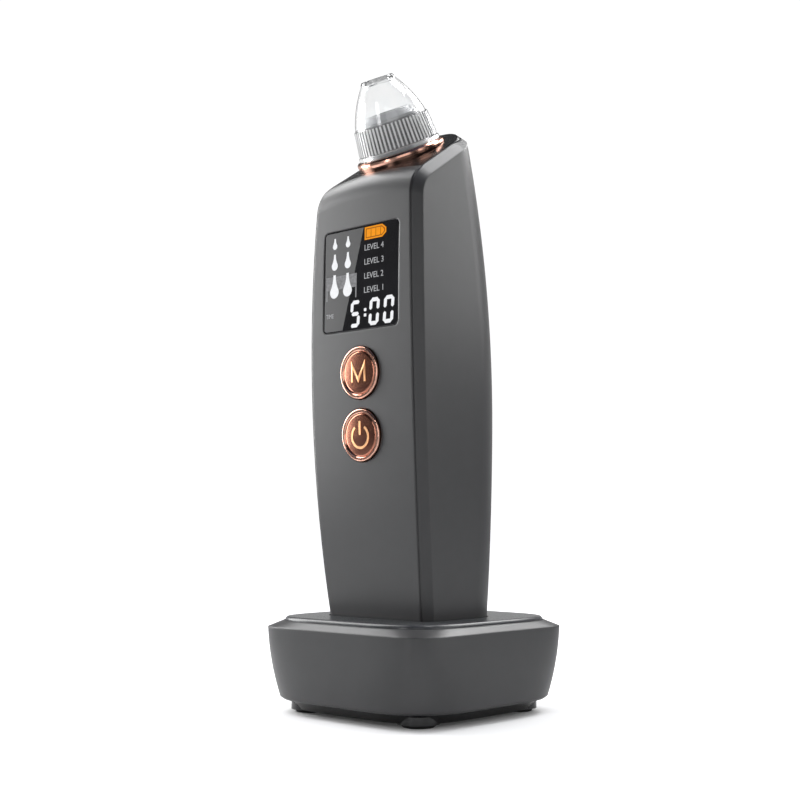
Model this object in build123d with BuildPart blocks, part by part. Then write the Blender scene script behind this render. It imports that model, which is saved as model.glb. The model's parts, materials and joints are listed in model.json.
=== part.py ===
"""Blackhead vacuum extractor: a pore vacuum handpiece standing in its charging base.

Millimetres, +Z up. The origin is the centre of the base, on the plane that its four feet stand on.
The front, with the screen and the two buttons, faces -Y.
"""

from build123d import *
import math
import os

os.makedirs("parts", exist_ok=True)

# ---------------------------------------------------------------- charging base
BASE_HALF = 34.0  # half width at the rim
# wall sections of the base: height, half width, squareness of the superellipse
WALL_SECTIONS = ((4.1, 33.5, 4.0), (11.1, 33.85, 5.2), (18.2, 34.0, 6.6), (25.2, 34.0, 7.8))
WALL_FOOT = WALL_SECTIONS[0][0]
RIM_Z = WALL_SECTIONS[-1][0]
SEAM_Z = 27.1  # top of the sloping shoulder
SEAM_HALF = 32.0
SEAM_POWER = 4.7
BASE_WALL = 2.3
PANEL_GAP = 0.2  # open joint between shoulder and top panel
PANEL_TOP = 28.2
PANEL_UNDER = 24.9
LEDGE_Z = 22.9  # underside of the ledge that carries the top panel
LEDGE_HALF = 29.8
PLATE_UNDER = 1.3
PLATE_FLOOR = 3.3
PLATE_RIM = 6.3
PLATE_HALF = 30.9
PLATE_POWER = 4.1
FOOT_AT = 21.7  # feet and base screws stand at (+-FOOT_AT, +-FOOT_AT)
FOOT_R = 4.8
COLLAR_R = 6.0
FOOT_PLACES = ((-FOOT_AT, -FOOT_AT), (FOOT_AT, -FOOT_AT), (-FOOT_AT, FOOT_AT), (FOOT_AT, FOOT_AT))
BOSS_R = 2.7
STANDOFFS = ((-11.5, -9.5), (11.5, -9.5), (-11.5, 22.0), (11.5, 22.0))  # posts under the charging board
CHARGE_CHIPS = ((0, 12, 5, 5, 1.0), (-8, 10, 4, 3, 1.6), (8, 12, 3, 6, 1.2))  # x, y, width, depth, thickness
INLET_WIDTH = 9.0
INLET_TALL = 3.2
INLET_Z = 12.4
INLET_MOUTH_Y = 33.0
INLET_DEPTH = 7.4
SQUIRCLE_POINTS = 48

# ---------------------------------------------------------------- handpiece outline
FOOT_Z = 19.0  # underside of the handpiece when docked
FRONT_Y = -23.45  # foremost line of the front face
FRONT_Z = 118.0
FRONT_R = 636.0
REAR_Y = 17.2  # rearmost line of the back
REAR_Z = 84.0
REAR_R_UPPER = 475.0
REAR_R_LOWER = 4500.0
SIDE_X = 23.5  # half width at the widest line
SIDE_Z = 98.0
SIDE_R = 1000.0
REAR_ROUND = 12.5  # radius of the two rounded back edges
EDGE_CHAMFER = 2.6
TOP_TILT = 33.5  # slope of the top face
TOP_Z = 166.0  # height of the top face on the centre line at y = TOP_Y
TOP_Y = -10.0
CROWN_R = 130.0  # crosswise crown of the top face
TOP_ROUND = 11.0  # front face rolls over into the top face
WALL = 2.2
TOP_WALL = 5.0
SPLIT_GAP = 0.12  # open joint around the front panel and the top cap
PANEL_THICK = 2.2
PANEL_EDGE_ROUND = 0.4
CAP_FRONT = -9.5  # front and rear edge of the top cap, measured up the slope from TOP_Y
CAP_REAR = 18.65
CAP_DEPTH = 3.0
CAP_ROUND = 9.7

# ---------------------------------------------------------------- nozzle and suction head
NOZZLE_TILT = 27.0
NOZZLE_SEAT = (0.0, -6.4, 170.4)  # centre of the suction head's lower edge
# profiles about the nozzle axis: (radius, height above the suction head's lower edge)
SKIRT_PROFILE = ((10.0, 8.6), (10.85, 5.2), (10.85, 0.0), (12.9, 0.0), (12.9, 0.9), (12.2, 1.3), (11.3, 9.2))
DOME_OUTSIDE = ((11.3, 9.2), (9.17, 15.0), (5.6, 21.0))  # start, middle and end of its arc
DOME_INSIDE = ((4.35, 20.1), (7.95, 14.45), (10.0, 8.6))
TIP_PROFILE = ((5.6, 21.0), (5.1, 22.1), (4.85, 22.4), (4.1, 22.4), (3.85, 22.1), (3.85, 20.7), (4.35, 20.1))
RIB_PROFILE = ((12.05, 1.2), (12.6, 1.4), (11.8, 8.8), (11.1, 9.2))
RIB_COUNT = 60
RIB_WIDTH = 0.55
RING_FOOT = -4.0
RING_BORE_R = 9.95
RING_PROFILE = (
    (RING_BORE_R, RING_FOOT),
    (13.2, RING_FOOT),
    (13.5, -3.0),
    (13.85, -2.1),
    (14.0, -1.4),
    (13.9, -0.8),
    (13.5, -0.35),
    (13.1, -0.25),
    (RING_BORE_R, -0.25),
)
RING_SEAT_R = 13.6
BEAD_SEAT_R = 14.1  # clears the ring's bulge where it dips into the top face
BEAD_FOOT = -2.8
CONNECTOR_FLANGE_R = 10.5
CONNECTOR_FLANGE_TOP = -9.4
# room cut in the casing for the ring, the connector and its flange
SEAT_PROFILE = (
    (0.0, 9.0),
    (BEAD_SEAT_R, 9.0),
    (BEAD_SEAT_R, BEAD_FOOT),
    (RING_SEAT_R, BEAD_FOOT),
    (RING_SEAT_R, RING_FOOT),
    (RING_BORE_R, RING_FOOT),
    (RING_BORE_R, CONNECTOR_FLANGE_TOP),
    (CONNECTOR_FLANGE_R + 0.1, CONNECTOR_FLANGE_TOP),
    (CONNECTOR_FLANGE_R + 0.1, -14.0),
    (0.0, -14.0),
)
CONNECTOR_PROFILE = (
    (1.0, -16.0),
    (1.65, -16.0),
    (1.65, -10.6),
    (CONNECTOR_FLANGE_R, -10.6),
    (CONNECTOR_FLANGE_R, CONNECTOR_FLANGE_TOP),
    (9.7, CONNECTOR_FLANGE_TOP),
    (9.7, 2.4),
    (8.7, 2.4),
    (8.7, 10.0),
    (7.0, 11.8),
    (5.6, 11.8),
    (5.6, 8.0),
    (4.4, 8.0),
    (4.4, -7.5),
    (1.0, -9.5),
)
SEAL_PROFILE = ((8.72, 2.42), (10.5, 2.42), (10.8, 3.0), (10.8, 4.0), (10.5, 4.6), (8.72, 4.6))
SPONGE_PROFILE = ((0.0, 8.05), (5.55, 8.05), (5.55, 11.2), (0.0, 11.2))

# ---------------------------------------------------------------- front controls
LENS_SIZE = 31.0
LENS_Z = 128.0
LENS_ROUND = 1.8
LENS_THICK = 1.0
LENS_SINK = 0.12
GASKET_THICK = 0.2
WINDOW_SIZE = 27.0
BUTTON_R = 7.7
BUTTON_HOLE_R = 7.95
BUTTON_PROUD = 0.85
MODE_Z = 99.8
POWER_Z = 81.5
BUTTON_FLANGE_R = 8.7
BUTTON_DISH = 0.3
PLUNGER_PROUD = 0.6  # switch plunger above its housing
SWITCH_HEIGHT = 1.7
SYMBOL_WIDTH = 0.8
SYMBOL_DEPTH = 0.2

# ---------------------------------------------------------------- inside the handpiece
BOARD_Y = -16.0  # front face of the main circuit board
BOARD_THICK = 1.6
BOARD_X = 15.5
BOARD_Z = (65.0, 149.5)
POST_PLACES = ((-12.5, 69.0), (12.5, 69.0), (-12.5, 146.5), (12.5, 146.5))  # board posts: x, z
POST_R = 2.3
SCREW_R = 0.8
# parts soldered to the back of the board: x, z, width, height, thickness
CHIPS = ((0, 75, 7, 7, 1.0), (-9, 84, 5, 4, 1.4), (9, 84, 4, 6, 1.2), (8, 96, 6, 5, 2.4), (-8, 96, 3, 3, 1.0))
CELL_R = 9.2
CELL_Y = 0.8
CELL_Z = (31.0, 96.0)
PUMP_Y = -3.5  # motor axis
MOTOR_R = 9.5
MOTOR_Z = (106.0, 129.0)
CRANK_THROW = 1.0
PUMP_Z = (129.0, 143.0)
PUMP_HALF_Y = 9.5
CRANK_Z = (134.0, 138.0)
SHAFT_R = 1.0
PIN_R = 1.2
RUN_GAP = 0.05  # radial clearance of a running fit
PUMP_SCREWS = ((-7.6, -5.2), (7.6, -5.2), (-7.6, 5.2), (7.6, 5.2))  # seen along the diaphragm's axis
PORT_AT = (14.9, -6.5)
OUTLET_AT = (14.9, -0.5)
PORT_R = 1.65
PORT_TOP = 147.0
DIAPHRAGM_X = 10.6

# ---------------------------------------------------------------- dock contacts
PIN_PLACES = ((-6.0, 0.0), (6.0, 0.0))
CONTACT_SIZE = 5.0
COVER_THICK = 2.4
COVER_SCREWS = ((-13.5, 0.0), (13.5, 0.0))
BRACKET_Z = 29.0
PIN_TIP_R = 0.65
PIN_FLANGE_R = 0.9
PIN_TOP = 19.6
WELL_FLOOR = 17.4
WELL_GAP = 0.4  # room around the handpiece's foot
BARREL_R = 1.3
BARREL_TOP = 18.2
FLANGE_Z = 14.6
SPRING_R = 0.62
SPRING_WIRE = 0.11  # half its thickness
BOARD_LOW = 8.6

# ---------------------------------------------------------------- vents in the back
VENT_ROWS = (140.0, 143.0, 146.0)
VENT_LENGTH = 12.0
VENT_WIDTH = 1.2


def front_y(z, inset=0.0):
    """Y of the front face at height z, moved inwards by inset."""
    return FRONT_Y + FRONT_R - math.sqrt((FRONT_R - inset) ** 2 - (z - FRONT_Z) ** 2)


def rear_y(z, inset=0.0):
    """Y of the back at height z, moved inwards by inset."""
    radius = REAR_R_UPPER if z > REAR_Z else REAR_R_LOWER
    return REAR_Y - radius + math.sqrt((radius - inset) ** 2 - (z - REAR_Z) ** 2)


def side_x(z, inset=0.0):
    """Half width of the handpiece at height z, moved inwards by inset."""
    return SIDE_X - SIDE_R + math.sqrt((SIDE_R - inset) ** 2 - (z - SIDE_Z) ** 2)


def squircle(height, half, power):
    """A superellipse face at a height."""
    points = []
    for step in range(SQUIRCLE_POINTS):
        angle = 2 * math.pi * (step + 0.5) / SQUIRCLE_POINTS
        across, along = math.cos(angle), math.sin(angle)
        reach = half / (abs(across) ** power + abs(along) ** power) ** (1 / power)
        points.append((reach * across, reach * along))
    with BuildSketch(Plane.XY.offset(height)) as outline:
        with BuildLine():
            Spline(points, periodic=True)
        make_face()
    return outline.sketch


def sloped_plane(drop=0.0):
    """Plane across the sloping top face, its local y standing square on the face."""
    slope = math.radians(TOP_TILT)
    up = (0, -math.sin(slope), math.cos(slope))
    origin = (0, TOP_Y - drop * up[1], TOP_Z - drop * up[2])
    return Plane(origin=origin, x_dir=(1, 0, 0), z_dir=(0, -math.cos(slope), -math.sin(slope)))


def top_plane(drop=0.0):
    """Plane lying on the sloping top face, its local y running up the slope."""
    slope = math.radians(TOP_TILT)
    up = (0, -math.sin(slope), math.cos(slope))
    origin = (0, TOP_Y - drop * up[1], TOP_Z - drop * up[2])
    return Plane(origin=origin, x_dir=(1, 0, 0), z_dir=up)


def front_plane(z, lift=0.0):
    """Plane tangent to the front face at height z, facing outwards, local y up."""
    lean = math.asin((z - FRONT_Z) / FRONT_R)
    out = (0, -math.cos(lean), math.sin(lean))
    origin = (0, front_y(z) + lift * out[1], z + lift * out[2])
    return Plane(origin=origin, x_dir=(1, 0, 0), z_dir=out)


def nozzle_plane(height=0.0):
    """Plane square to the nozzle axis, a height above the suction head's lower edge."""
    tilt = math.radians(NOZZLE_TILT)
    axis = (0, -math.sin(tilt), math.cos(tilt))
    origin = (0, NOZZLE_SEAT[1] + height * axis[1], NOZZLE_SEAT[2] + height * axis[2])
    return Plane(origin=origin, x_dir=(1, 0, 0), z_dir=axis)


def nozzle_section():
    """Plane through the nozzle axis: local x is the radius, local y the height."""
    tilt = math.radians(NOZZLE_TILT)
    return Plane(origin=NOZZLE_SEAT, x_dir=(1, 0, 0), z_dir=(0, -math.cos(tilt), -math.sin(tilt)))


def turned(points):
    """A piece turned about the nozzle axis from a closed profile of (radius, height) points."""
    with BuildPart() as piece:
        with BuildSketch(nozzle_section()):
            with BuildLine():
                Polyline(*points, close=True)
            make_face()
        revolve(axis=Axis(NOZZLE_SEAT, nozzle_plane().z_dir))
    return piece.part


def handpiece_block(inset, foot, drop, rear_round):
    """The handpiece's form between its foot and its crowned, sloping top, moved inwards by inset."""
    head = TOP_Z + 30
    middle = (foot + head) / 2
    low_rear = (foot + REAR_Z) / 2
    high_rear = (REAR_Z + head) / 2
    crown_reach = 30.0
    crown_drop = CROWN_R - math.sqrt(CROWN_R**2 - crown_reach**2)
    with BuildPart() as block:
        with BuildSketch(Plane.YZ):
            with BuildLine():
                ThreePointArc(
                    (front_y(foot, inset), foot),
                    (front_y(middle, inset), middle),
                    (front_y(head, inset), head),
                )
                Line((front_y(head, inset), head), (rear_y(head, inset), head))
                ThreePointArc(
                    (rear_y(head, inset), head),
                    (rear_y(high_rear, inset), high_rear),
                    (REAR_Y - inset, REAR_Z),
                )
                ThreePointArc(
                    (REAR_Y - inset, REAR_Z),
                    (rear_y(low_rear, inset), low_rear),
                    (rear_y(foot, inset), foot),
                )
                Line((rear_y(foot, inset), foot), (front_y(foot, inset), foot))
            make_face()
        extrude(amount=SIDE_X + 5, both=True)
        with BuildSketch(Plane.XZ):
            with BuildLine():
                right = [(side_x(z, inset), z) for z in (foot, SIDE_Z, head)]
                left = [(-x, z) for x, z in right]
                ThreePointArc(*right)
                Line(right[2], left[2])
                ThreePointArc(*left)
                Line(left[0], right[0])
            make_face()
        extrude(amount=60, both=True, mode=Mode.INTERSECT)
        with BuildSketch(sloped_plane(drop)):
            with BuildLine():
                ThreePointArc((-crown_reach, -crown_drop), (0, 0), (crown_reach, -crown_drop))
                Polyline(
                    (crown_reach, -crown_drop),
                    (crown_reach, 60),
                    (-crown_reach, 60),
                    (-crown_reach, -crown_drop),
                )
            make_face()
        extrude(amount=60, both=True, mode=Mode.SUBTRACT)
        back_edges = block.edges().filter_by(
            lambda e: abs(e.center().X) > 15 and e.center().Y > 5 and e.bounding_box().size.Z > 30
        )
        fillet(back_edges, rear_round)
    return block.part


def foot_prism(grow, low, high):
    """The handpiece's foot grown sideways, between two heights."""
    with BuildPart() as prism:
        add(handpiece_block(-grow, low, 0.0, REAR_ROUND + grow))
        with Locations((0, 0, (low + high) / 2)):
            Box(100, 100, high - low, mode=Mode.INTERSECT)
        front_edges = prism.edges().filter_by(
            lambda e: abs(e.center().X) > 15 and e.center().Y < -15 and e.bounding_box().size.Z > 1
        )
        chamfer(front_edges, EDGE_CHAMFER)
    return prism.part


def front_zone(depth, edge):
    """Space in front of a face that lies depth behind the front, edge in from the sides."""
    low = FOOT_Z - 1
    bend = TOP_Z - 18
    slope = math.radians(TOP_TILT)
    brow_depth = depth + 1.2
    brow = (
        TOP_Y + CAP_FRONT * math.cos(slope) + brow_depth * math.sin(slope),
        TOP_Z + CAP_FRONT * math.sin(slope) - brow_depth * math.cos(slope),
    )
    over = (brow[0] - 20 * math.sin(slope), brow[1] + 20 * math.cos(slope))
    high = over[1]
    with BuildPart() as zone:
        with BuildSketch(Plane.YZ):
            with BuildLine():
                ThreePointArc(
                    (front_y(low, depth), low),
                    (front_y((low + bend) / 2, depth), (low + bend) / 2),
                    (front_y(bend, depth), bend),
                )
                Polyline((front_y(bend, depth), bend), brow, over, (-45, high), (-45, low))
                Line((-45, low), (front_y(low, depth), low))
            make_face()
        extrude(amount=SIDE_X + 5, both=True)
        with BuildSketch(Plane.XZ):
            with BuildLine():
                right = [(side_x(z, edge), z) for z in (low, SIDE_Z, high)]
                left = [(-x, z) for x, z in right]
                ThreePointArc(*right)
                Line(right[2], left[2])
                ThreePointArc(*left)
                Line(left[0], right[0])
            make_face()
        extrude(amount=60, both=True, mode=Mode.INTERSECT)
    return zone.part


def cap_zone(grow):
    """Space of the top cap, down to its flat underside, grown by grow."""
    slope = math.radians(TOP_TILT)
    front_half = side_x(TOP_Z + CAP_FRONT * math.sin(slope)) - EDGE_CHAMFER - SPLIT_GAP + grow
    rear_half = side_x(TOP_Z + CAP_REAR * math.sin(slope)) - EDGE_CHAMFER - SPLIT_GAP + grow
    corners = (
        (-front_half, CAP_FRONT + SPLIT_GAP - grow),
        (front_half, CAP_FRONT + SPLIT_GAP - grow),
        (rear_half, CAP_REAR + grow),
        (-rear_half, CAP_REAR + grow),
    )
    with BuildPart() as zone:
        with BuildSketch(top_plane(CAP_DEPTH + grow)) as outline:
            with BuildLine():
                Polyline(*corners, close=True)
            make_face()
            fillet(outline.vertices().group_by(Axis.Y)[-1], CAP_ROUND + grow)
        extrude(amount=CAP_DEPTH + 8)
    return zone.part


def upright(places, radius, low, high):
    """One upright cylinder at each (x, y) place."""
    with BuildPart() as posts:
        with BuildSketch(Plane.XY.offset(low)):
            with Locations(*places):
                Circle(radius)
        extrude(amount=high - low)
    return posts.part


def finish(piece, name):
    """Label a piece and write its STEP file."""
    piece.part.label = name
    export_step(piece.part, f"parts/{name}.step")


# ================================================================ handpiece casing
with BuildPart() as casing_form:
    add(handpiece_block(0.0, FOOT_Z, 0.0, REAR_ROUND))
    brow = casing_form.edges().filter_by(
        lambda e: abs(e.center().X) < 1 and e.center().Y < -10 and e.center().Z > 140
    )
    fillet(brow, TOP_ROUND)
    front_edges = casing_form.edges().filter_by(
        lambda e: abs(e.center().X) > 15 and e.center().Y < -15 and e.bounding_box().size.Z > 60
    )
    chamfer(front_edges, EDGE_CHAMFER)
casing = casing_form.part
cavity = handpiece_block(WALL, FOOT_Z - 1, TOP_WALL, REAR_ROUND - WALL)

with BuildPart() as front_panel:
    add(casing)
    add(front_zone(PANEL_THICK, EDGE_CHAMFER), mode=Mode.INTERSECT)
    long_edges = front_panel.edges().filter_by(lambda e: e.bounding_box().size.Z > 100)
    fillet(long_edges.sort_by(Axis.Y)[:2], PANEL_EDGE_ROUND)
    for x, z in POST_PLACES:
        with BuildSketch(Plane.XZ.offset(-BOARD_Y)):
            with Locations((x, z)):
                Circle(POST_R)
                Circle(SCREW_R, mode=Mode.SUBTRACT)
        extrude(amount=BOARD_Y - front_y(z) - 1.2)
    with BuildSketch(front_plane(LENS_Z, 1.0)):
        RectangleRounded(LENS_SIZE + 2 * SPLIT_GAP, LENS_SIZE + 2 * SPLIT_GAP, LENS_ROUND)
    extrude(amount=-1.0 - LENS_SINK - LENS_THICK - GASKET_THICK, mode=Mode.SUBTRACT)
    with BuildSketch(front_plane(LENS_Z)):
        RectangleRounded(WINDOW_SIZE, WINDOW_SIZE, LENS_ROUND)
    extrude(amount=-8, mode=Mode.SUBTRACT)
    for z in (MODE_Z, POWER_Z):
        with BuildSketch(front_plane(z)):
            Circle(BUTTON_HOLE_R)
        extrude(amount=3, both=True, mode=Mode.SUBTRACT)
finish(front_panel, "front_panel")

# A frame inside the rear shell, behind the front panel's edge, for the panel to sit on.
with BuildPart() as panel_ledge:
    add(casing)
    add(front_zone(PANEL_THICK + 1.6, WALL), mode=Mode.INTERSECT)
    add(front_zone(PANEL_THICK, 0.0), mode=Mode.SUBTRACT)
    add(front_zone(PANEL_THICK + 4, EDGE_CHAMFER + 2.2), mode=Mode.SUBTRACT)
    with Locations((0, 0, FOOT_Z + COVER_THICK / 2)):
        Box(100, 100, COVER_THICK + 2 * SPLIT_GAP, mode=Mode.SUBTRACT)

with BuildPart() as rear_shell:
    add(casing)
    add(cavity, mode=Mode.SUBTRACT)
    add(panel_ledge.part)
    add(front_zone(PANEL_THICK, EDGE_CHAMFER - SPLIT_GAP), mode=Mode.SUBTRACT)
    add(turned(SEAT_PROFILE), mode=Mode.SUBTRACT)
    add(cap_zone(SPLIT_GAP), mode=Mode.SUBTRACT)
    with BuildSketch(Plane.XZ.offset(-REAR_Y - 5)):
        with Locations(*[(0, z) for z in VENT_ROWS]):
            SlotOverall(VENT_LENGTH, VENT_WIDTH)
    extrude(amount=15, mode=Mode.SUBTRACT)
finish(rear_shell, "rear_shell")

with BuildPart() as top_cap:
    add(casing)
    add(cap_zone(0.0), mode=Mode.INTERSECT)
    add(turned(SEAT_PROFILE), mode=Mode.SUBTRACT)
finish(top_cap, "top_cap")

# The foot cover closes the casing below and holds the two charging contacts.
with BuildPart() as foot_cover:
    add(handpiece_block(WALL + SPLIT_GAP, FOOT_Z, 0.0, REAR_ROUND - WALL))
    with Locations((0, 0, FOOT_Z + COVER_THICK / 2)):
        Box(100, 100, COVER_THICK, mode=Mode.INTERSECT)
    add(upright(PIN_PLACES, PIN_TIP_R + 1.2, FOOT_Z - 1, PIN_TOP), mode=Mode.SUBTRACT)
    with BuildSketch(Plane.XY.offset(PIN_TOP)):
        with Locations(*PIN_PLACES):
            Rectangle(CONTACT_SIZE, CONTACT_SIZE)
    extrude(amount=COVER_THICK, mode=Mode.SUBTRACT)
    add(upright(COVER_SCREWS, 1.1, FOOT_Z - 1, FOOT_Z + 5), mode=Mode.SUBTRACT)
finish(foot_cover, "foot_cover")

with BuildPart() as charge_contacts:
    with BuildSketch(Plane.XY.offset(PIN_TOP)):
        with Locations(*PIN_PLACES):
            Rectangle(CONTACT_SIZE, CONTACT_SIZE)
    extrude(amount=0.8)
finish(charge_contacts, "charge_contacts")

# A bracket above the foot cover takes its screws and stops the battery from below.
with BuildPart() as foot_bracket:
    with BuildSketch(Plane.XY.offset(BRACKET_Z)):
        RectangleRounded(34, 20, 4)
    extrude(amount=2.0)
    add(upright(COVER_SCREWS, 2.6, FOOT_Z + COVER_THICK, BRACKET_Z))
    add(upright(COVER_SCREWS, SCREW_R, FOOT_Z, BRACKET_Z + 4), mode=Mode.SUBTRACT)
    with Locations((0, 0, BRACKET_Z)):
        Box(20, 8, 8, mode=Mode.SUBTRACT)
finish(foot_bracket, "foot_bracket")

with BuildPart() as foot_screws:
    add(upright(COVER_SCREWS, SCREW_R, FOOT_Z + 1.0, BRACKET_Z + 1.5))
    add(upright(COVER_SCREWS, 1.05, FOOT_Z + 0.2, FOOT_Z + 1.2))
finish(foot_screws, "foot_screws")

# ================================================================ nozzle and suction head
for name, profile in (
    ("nozzle_ring", RING_PROFILE),
    ("nozzle_connector", CONNECTOR_PROFILE),
    ("nozzle_seal", SEAL_PROFILE),
    ("filter_sponge", SPONGE_PROFILE),
):
    with BuildPart() as nozzle_piece:
        add(turned(profile))
    finish(nozzle_piece, name)

with BuildPart() as rib:
    with BuildSketch(nozzle_section()):
        with BuildLine():
            Polyline(*RIB_PROFILE, close=True)
        make_face()
    extrude(amount=RIB_WIDTH / 2, both=True)

nozzle_axis = Axis(NOZZLE_SEAT, nozzle_plane().z_dir)
with BuildPart() as suction_cup:
    with BuildSketch(nozzle_section()):
        with BuildLine():
            Polyline(*SKIRT_PROFILE)
            ThreePointArc(*DOME_OUTSIDE)
            Polyline(*TIP_PROFILE)
            ThreePointArc(*DOME_INSIDE)
        make_face()
    revolve(axis=nozzle_axis)
    add([rib.part.rotate(nozzle_axis, 360 * step / RIB_COUNT) for step in range(RIB_COUNT)])
finish(suction_cup, "suction_cup")

# ================================================================ screen
with BuildPart() as screen_lens:
    with BuildSketch(front_plane(LENS_Z, -LENS_SINK - LENS_THICK)):
        RectangleRounded(LENS_SIZE, LENS_SIZE, LENS_ROUND)
    extrude(amount=LENS_THICK)
    chamfer(screen_lens.faces().sort_by(Axis.Y)[0].edges(), 0.15)
finish(screen_lens, "screen_lens")

with BuildPart() as lens_gasket:
    with BuildSketch(front_plane(LENS_Z, -LENS_SINK - LENS_THICK)):
        RectangleRounded(LENS_SIZE, LENS_SIZE, LENS_ROUND)
        RectangleRounded(WINDOW_SIZE, WINDOW_SIZE, LENS_ROUND, mode=Mode.SUBTRACT)
    extrude(amount=-GASKET_THICK)
finish(lens_gasket, "lens_gasket")

with BuildPart() as display_module:
    with BuildSketch(front_plane(LENS_Z, -LENS_SINK - LENS_THICK - GASKET_THICK)):
        RectangleRounded(WINDOW_SIZE - 0.4, WINDOW_SIZE - 0.4, LENS_ROUND)
    extrude(amount=-1.2)
    with BuildSketch(Plane.XZ.offset(-BOARD_Y)):
        with Locations((0, LENS_Z)):
            RectangleRounded(WINDOW_SIZE - 1, WINDOW_SIZE - 1, LENS_ROUND)
    extrude(amount=5.0)
finish(display_module, "display_module")

# ================================================================ main circuit board
with BuildPart() as main_board:
    with BuildSketch(Plane.XZ.offset(-BOARD_Y)):
        with Locations((0, sum(BOARD_Z) / 2)):
            RectangleRounded(2 * BOARD_X, BOARD_Z[1] - BOARD_Z[0], 1.5)
        with Locations(*POST_PLACES):
            Circle(SCREW_R + 0.2, mode=Mode.SUBTRACT)
    extrude(amount=-BOARD_THICK)
finish(main_board, "main_board")

with BuildPart() as board_chips:
    for x, z, wide, tall, thick in CHIPS:
        with BuildSketch(Plane.XZ.offset(-BOARD_Y - BOARD_THICK)):
            with Locations((x, z)):
                Rectangle(wide, tall)
        extrude(amount=-thick)
finish(board_chips, "board_chips")

with BuildPart() as board_screws:
    with BuildSketch(Plane.XZ.offset(-BOARD_Y - BOARD_THICK)):
        with Locations(*POST_PLACES):
            Circle(1.6)
    extrude(amount=-1.1)
    with BuildSketch(Plane.XZ.offset(-BOARD_Y - BOARD_THICK)):
        with Locations(*POST_PLACES):
            Circle(SCREW_R)
    extrude(amount=4.0)
finish(board_screws, "board_screws")

# ================================================================ buttons and their switches
def stem_length(height):
    """Length of the stem between a button's flange and its switch plunger."""
    return BOARD_Y - front_y(height) - PANEL_THICK - 0.95 - SWITCH_HEIGHT - PLUNGER_PROUD


def button_cap(height):
    """A dished disc with a raised rim, a retaining flange and a stem; the symbol is cut later."""
    with BuildPart() as cap:
        with BuildSketch(front_plane(height, -PANEL_THICK - 0.95)):
            Circle(BUTTON_FLANGE_R)
        extrude(amount=0.8)
        with BuildSketch(front_plane(height, -PANEL_THICK - 0.15)):
            Circle(BUTTON_R)
        extrude(amount=PANEL_THICK + 0.15 + BUTTON_PROUD)
        rim = cap.edges().filter_by(GeomType.CIRCLE).sort_by(Axis.Y)[0]
        fillet(rim, 0.45)
        with BuildSketch(front_plane(height, BUTTON_PROUD)):
            Circle(BUTTON_R - 1.0)
        extrude(amount=-BUTTON_DISH, taper=45, mode=Mode.SUBTRACT)
        with BuildSketch(front_plane(height, -PANEL_THICK - 0.95)):
            Circle(2.0)
        extrude(amount=-stem_length(height))
    return cap.part


with BuildPart() as mode_button:
    add(button_cap(MODE_Z))
    with BuildSketch(front_plane(MODE_Z, BUTTON_PROUD - BUTTON_DISH)):
        with BuildLine():
            Polyline((-2.6, -2.7), (-2.6, 2.7), (0, -2.2), (2.6, 2.7), (2.6, -2.7))
        trace(line_width=SYMBOL_WIDTH)
    extrude(amount=-SYMBOL_DEPTH, mode=Mode.SUBTRACT)
finish(mode_button, "mode_button")

with BuildPart() as power_button:
    add(button_cap(POWER_Z))
    with BuildSketch(front_plane(POWER_Z, BUTTON_PROUD - BUTTON_DISH)):
        with BuildLine():
            CenterArc((0, -0.4), 3.3, 125, 290)
        trace(line_width=SYMBOL_WIDTH)
        with Locations((0, 2.1)):
            SlotOverall(4.2, SYMBOL_WIDTH, rotation=90)
    extrude(amount=-SYMBOL_DEPTH, mode=Mode.SUBTRACT)
finish(power_button, "power_button")

for name, height in (("mode", MODE_Z), ("power", POWER_Z)):
    with BuildPart() as plunger:
        with BuildSketch(front_plane(height, -PANEL_THICK - 0.95 - stem_length(height))):
            Circle(1.5)
        extrude(amount=-PLUNGER_PROUD - 0.8)
    finish(plunger, f"{name}_plunger")
    with BuildPart() as switch:
        with BuildSketch(Plane.XZ.offset(-BOARD_Y)):
            with Locations((0, height)):
                RectangleRounded(6.2, 6.2, 0.5)
        extrude(amount=SWITCH_HEIGHT)
        with BuildSketch(front_plane(height)):
            Circle(1.75)
        extrude(amount=front_y(height) - BOARD_Y + 0.2, mode=Mode.SUBTRACT)
    finish(switch, f"{name}_switch")

# ================================================================ battery
with BuildPart() as battery_cell:
    add(upright([(0, CELL_Y)], CELL_R, CELL_Z[0], CELL_Z[1]))
    fillet(battery_cell.edges(), 0.6)
    add(upright([(0, CELL_Y)], 2.8, CELL_Z[1], CELL_Z[1] + 0.8))
finish(battery_cell, "battery_cell")

# A half-round cradle, open to the front, stands off the back wall on two ribs.
with BuildPart() as battery_cradle:
    with BuildSketch(Plane.XY.offset(CELL_Z[0] + 4)):
        with Locations((0, CELL_Y)):
            Circle(CELL_R + 1.5)
        with Locations((0, CELL_Y + CELL_R + 3)):
            Rectangle(14, 8)
        with Locations((0, CELL_Y)):
            Circle(CELL_R + 0.1, mode=Mode.SUBTRACT)
        with Locations((0, CELL_Y - CELL_R - 2)):
            Rectangle(40, 20, mode=Mode.SUBTRACT)
    extrude(amount=CELL_Z[1] - CELL_Z[0] - 10)
    add(cavity, mode=Mode.INTERSECT)
finish(battery_cradle, "battery_cradle")

# ================================================================ motor
MOTOR_LOW, MOTOR_HIGH = MOTOR_Z
with BuildPart() as motor_can:
    add(upright([(0, PUMP_Y)], MOTOR_R, MOTOR_LOW, MOTOR_HIGH))
    fillet(motor_can.edges().group_by(Axis.Z)[-1], 0.8)
    add(upright([(0, PUMP_Y)], MOTOR_R - 0.8, MOTOR_LOW, MOTOR_HIGH - 1.2), mode=Mode.SUBTRACT)
    add(upright([(0, PUMP_Y)], SHAFT_R + RUN_GAP, MOTOR_LOW, MOTOR_HIGH), mode=Mode.SUBTRACT)
finish(motor_can, "motor_can")

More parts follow.
